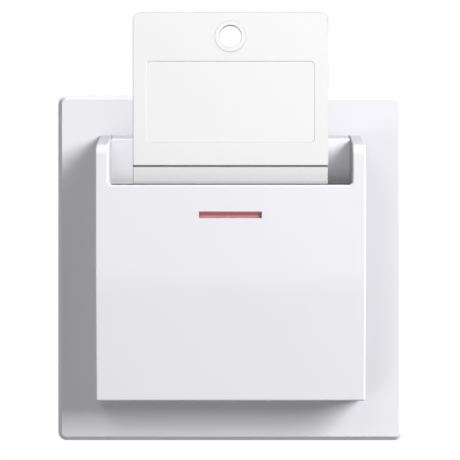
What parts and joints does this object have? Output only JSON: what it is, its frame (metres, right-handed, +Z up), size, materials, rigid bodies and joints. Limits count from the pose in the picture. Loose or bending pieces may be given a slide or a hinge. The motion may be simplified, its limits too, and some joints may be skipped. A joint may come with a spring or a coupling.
{
  "type": "hotel key card switch",
  "caption": "Flush wall switch worked by a hotel key card pushed down into a pocket, with a square surround, two side ears, a red indicator strip and the card in place.",
  "frame": {"origin": "centre of the outer frame and of the box screw slots, on the plane of the wall", "axes": "+Y goes into the wall, +Z is up and +X is to the right of a person facing the switch"},
  "size_m": [0.0816, 0.045, 0.1005],
  "materials": {
    "white_abs": "satin moulded, fine grain",
    "card_plastic": "smooth sheet",
    "label_film": "matt film",
    "eyelet_plastic": "polished",
    "red_lens": "translucent",
    "clear_acrylic": "clear",
    "lamp_glass": "clear",
    "light_polyamide": "moulded",
    "rocker_plastic": "moulded",
    "zinc_steel": "zinc plated",
    "spring_steel": "bright",
    "brass": "rolled",
    "contact_silver": "satin",
    "circuit_board": "laminate",
    "resistor_body": "lacquered"
  },
  "bodies": {
    "switch": {"outer_frame": "white_abs", "front_cover": "white_abs", "card_guide": "white_abs", "indicator_lens": "red_lens", "light_bar": "clear_acrylic", "grip_spring_left": "spring_steel", "grip_spring_right": "spring_steel", "guide_screws": "zinc_steel", "return_spring": "spring_steel", "mechanism_lid": "light_polyamide", "lid_screws": "zinc_steel", "mechanism_base": "light_polyamide", "plate_rivets": "zinc_steel", "support_plate": "zinc_steel", "on_contact": "brass", "on_contact_tip": "contact_silver", "off_contact": "brass", "off_contact_tip": "contact_silver", "common_contact": "brass", "terminal_line": "brass", "terminal_neutral": "brass", "terminal_load": "brass", "terminal_screws": "zinc_steel", "neutral_strip": "brass", "lamp_tube": "lamp_glass", "lamp_leads": "zinc_steel", "lamp_board": "circuit_board", "lamp_resistor": "resistor_body", "claw_pin_upper": "zinc_steel", "claw_pin_lower": "zinc_steel"},
    "follower": {"card_follower": "light_polyamide"},
    "key_card": {"card_body": "card_plastic", "card_label": "label_film", "card_eyelet": "eyelet_plastic"},
    "contact_rocker": {"rocker": "rocker_plastic", "rocker_axle": "brass", "moving_contact": "brass", "moving_contact_tips": "contact_silver"},
    "upper_claw": {"claw_upper": "zinc_steel"},
    "lower_claw": {"claw_lower": "zinc_steel"},
    "upper_claw_screw": {"claw_screw_upper": "zinc_steel"},
    "lower_claw_screw": {"claw_screw_lower": "zinc_steel"}
  },
  "joints": [
    {"name": "follower_travel", "type": "slide", "parent": "switch", "child": "follower", "axis": [0, 0, 1], "range_m": [0, 0.004], "deforming": ["return_spring"]},
    {"name": "card_withdraw", "type": "slide", "parent": "follower", "child": "key_card", "axis": [0, 0, 1], "range_m": [0, 0.06]},
    {"name": "rocker_tilt", "type": "hinge", "parent": "switch", "child": "contact_rocker", "pos_m": [0, 0.009, 0], "axis": [1, 0, 0], "range_deg": [-19, 0]},
    {"name": "upper_claw_screw_turn", "type": "hinge", "parent": "switch", "child": "upper_claw_screw", "pos_m": [0, -0.001, 0.0272], "axis": [0, 1, 0], "range_deg": [0, 1080]},
    {"name": "upper_claw_swing", "type": "hinge", "parent": "switch", "child": "upper_claw", "pos_m": [0, 0.0013, 0.0235], "axis": [1, 0, 0], "range_deg": [0, 20]},
    {"name": "lower_claw_screw_turn", "type": "hinge", "parent": "switch", "child": "lower_claw_screw", "pos_m": [0, -0.001, -0.0272], "axis": [0, 1, 0], "range_deg": [0, 1080]},
    {"name": "lower_claw_swing", "type": "hinge", "parent": "switch", "child": "lower_claw", "pos_m": [0, 0.0013, -0.0235], "axis": [-1, 0, 0], "range_deg": [0, 20]}
  ],
  "couplings": [
    {"joint": "rocker_tilt", "follows": "follower_travel", "rad_per_m": -82.574},
    {"joint": "upper_claw_swing", "follows": "upper_claw_screw_turn", "ratio": 0.018519},
    {"joint": "lower_claw_swing", "follows": "lower_claw_screw_turn", "ratio": 0.018519}
  ]
}
